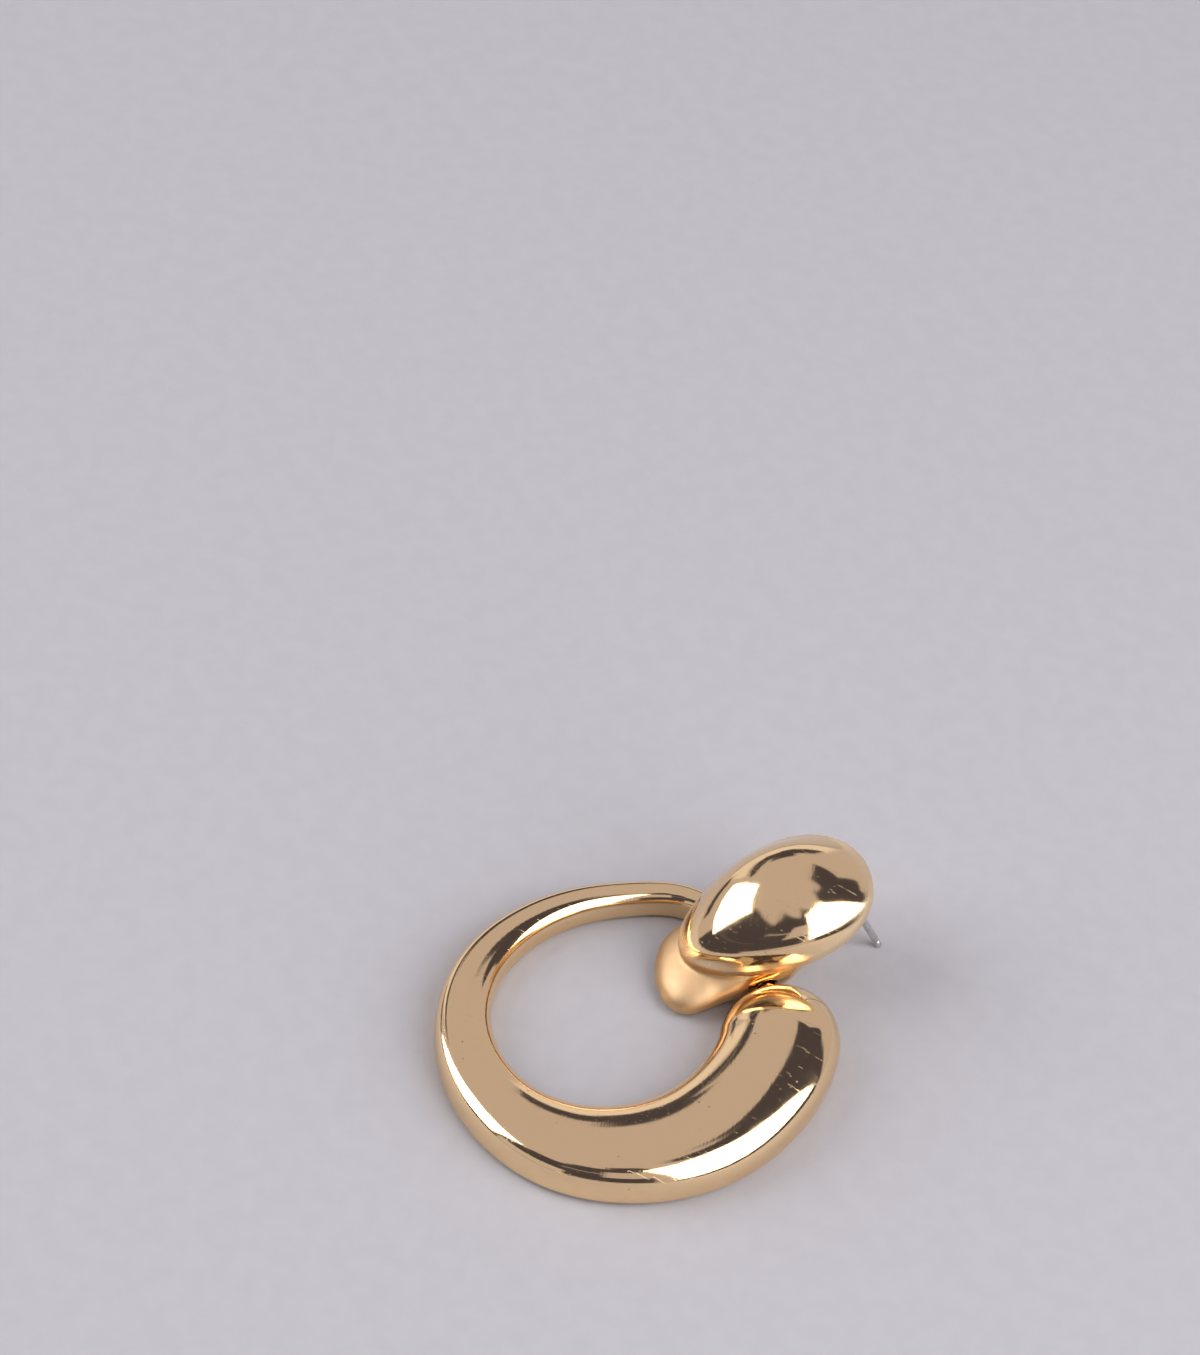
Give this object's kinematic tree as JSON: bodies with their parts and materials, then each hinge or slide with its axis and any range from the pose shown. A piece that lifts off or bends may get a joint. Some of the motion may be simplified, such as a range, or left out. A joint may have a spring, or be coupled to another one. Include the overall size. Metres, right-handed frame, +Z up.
{
  "type": "earring",
  "caption": "Door-knocker statement earring: crescent hoop on a neck bar that swings in the loop of a puffed egg-shaped stud, with a straight ear post.",
  "frame": {"origin": "centre of the bounding box's underside, on the surface the earring lies on", "axes": "+X from the hoop's thin end towards its fat end, +Y from the hoop towards the stud, +Z up from the surface"},
  "size_m": [0.0414, 0.0535, 0.0148],
  "materials": {
    "gold_plate": "polished pale gold plating",
    "post_steel": "plain steel wire"
  },
  "bodies": {
    "hoop": {"drop_ring": "gold_plate"},
    "stud": {"stud": "gold_plate", "ear_post": "post_steel"}
  },
  "joints": [
    {"name": "stud_swing", "type": "hinge", "parent": "hoop", "child": "stud", "pos_m": [-0.00442, 0.01103, 0.0023], "axis": [1, 0, 0], "range_deg": [-60, 20]}
  ]
}
